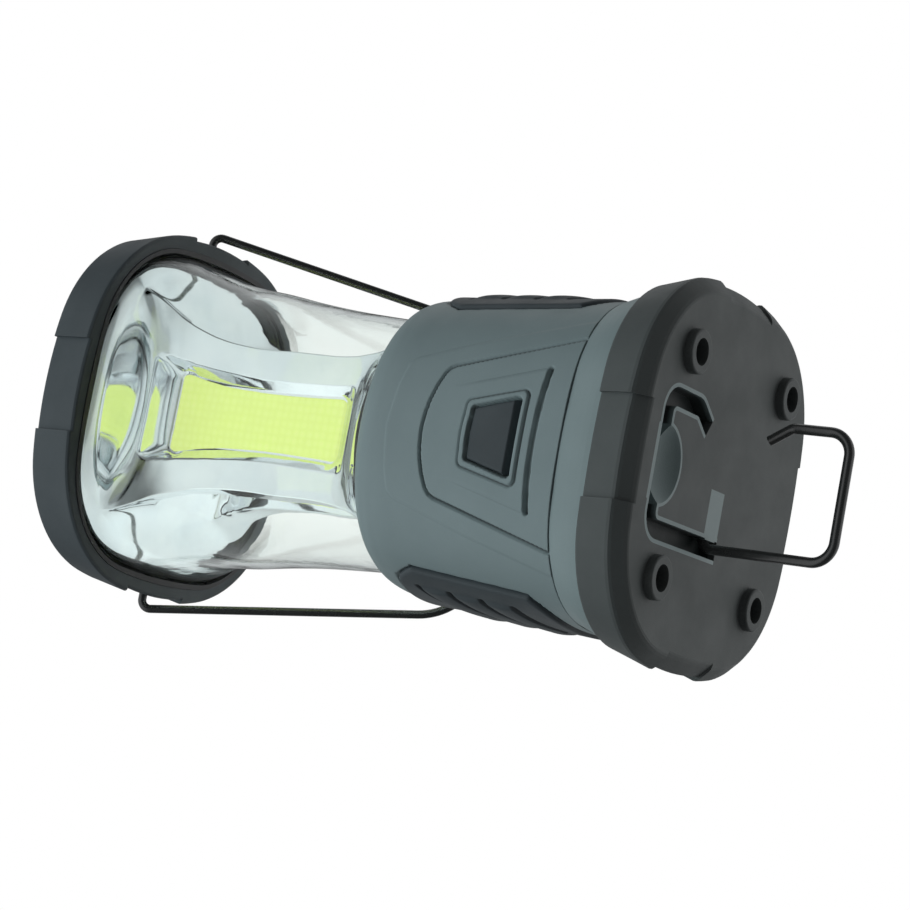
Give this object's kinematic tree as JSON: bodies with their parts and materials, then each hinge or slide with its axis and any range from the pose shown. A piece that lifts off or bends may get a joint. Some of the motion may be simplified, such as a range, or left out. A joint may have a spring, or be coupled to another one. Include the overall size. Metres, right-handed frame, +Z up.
{
  "type": "camping lantern",
  "caption": "Battery camping lantern with a chrome four-sided reflector in a waisted clear lens, rubber cap and base, a folding bail handle and a hook in the base.",
  "frame": {"origin": "centre of the plane of the four feet, on the lantern's axis", "axes": "+Z up through the lens to the cap, -Y out of the front with the power button, +X to the right seen from the front"},
  "size_m": [0.1184, 0.109, 0.2324],
  "materials": {
    "body_grey": "fine moulded texture, mid grey with a cool tint",
    "trim_grey": "smooth satin, slightly lighter grey",
    "black_rubber": "soft-touch dark slate rubber",
    "base_rubber": "soft-touch dark grey rubber",
    "clear_lens": "clear polycarbonate, polished",
    "reflector_chrome": "vacuum-metallised, mirror bright",
    "led_yellow": "yellow-green phosphor gel over the chips",
    "led_board_white": "white solder mask on an aluminium core",
    "post_aluminium": "extruded aluminium",
    "wire_black": "gloss black powder-coated steel wire",
    "screw_steel": "zinc-plated steel",
    "contact_nickel": "nickel-plated spring steel",
    "cell_jacket": "printed steel can without any marking",
    "board_green": "solder mask",
    "switch_black": "moulded",
    "inner_black": "plain moulded",
    "seal_rubber": "nitrile O-ring"
  },
  "bodies": {
    "lantern": {"body_housing": "body_grey", "side_grip_left": "black_rubber", "side_grip_right": "black_rubber", "switch_panel": "body_grey", "switch_board": "board_green", "tact_switch": "switch_black", "battery_spine": "inner_black", "battery_cell_1": "cell_jacket", "battery_cell_2": "cell_jacket", "battery_cell_3": "cell_jacket", "battery_cell_4": "cell_jacket", "upper_contacts": "contact_nickel", "driver_board": "board_green", "heat_sink": "post_aluminium", "led_board_front": "led_board_white", "led_board_right": "led_board_white", "led_board_back": "led_board_white", "led_board_left": "led_board_white", "led_strip_front": "led_yellow", "led_strip_right": "led_yellow", "led_strip_back": "led_yellow", "led_strip_left": "led_yellow", "reflector": "reflector_chrome", "lens": "clear_lens", "lens_seal": "seal_rubber", "lens_bezel": "inner_black", "cap_bumper": "black_rubber", "cap_frame": "inner_black", "cap_screws": "screw_steel", "top_cap": "body_grey"},
    "base": {"base_bumper": "base_rubber", "base_cup": "trim_grey", "base_collar": "inner_black", "hook_retainer": "trim_grey", "base_screws": "screw_steel", "contact_carrier": "inner_black", "base_contacts": "contact_nickel", "contact_springs": "contact_nickel", "base_seal": "seal_rubber"},
    "hook": {"hook_wire": "wire_black"},
    "bail": {"bail_wire": "wire_black"},
    "button": {"power_button": "black_rubber"}
  },
  "joints": [
    {"name": "base_twist", "type": "hinge", "parent": "lantern", "child": "base", "pos_m": [0, 0, 0.0285], "axis": [0, 0, 1], "range_deg": [-30, 0]},
    {"name": "hook_fold", "type": "hinge", "parent": "base", "child": "hook", "pos_m": [0, -0.001, 0.0045], "axis": [1, 0, 0], "range_deg": [-90, 0]},
    {"name": "bail_swing", "type": "hinge", "parent": "lantern", "child": "bail", "pos_m": [0, 0, 0.187], "axis": [1, 0, 0], "range_deg": [0, 306]},
    {"name": "button_press", "type": "slide", "parent": "lantern", "child": "button", "axis": [0, 0.9986, -0.0533], "range_m": [0, 0.0012], "stiffness_N_per_m": 1500, "springref_m": -0.0008}
  ]
}
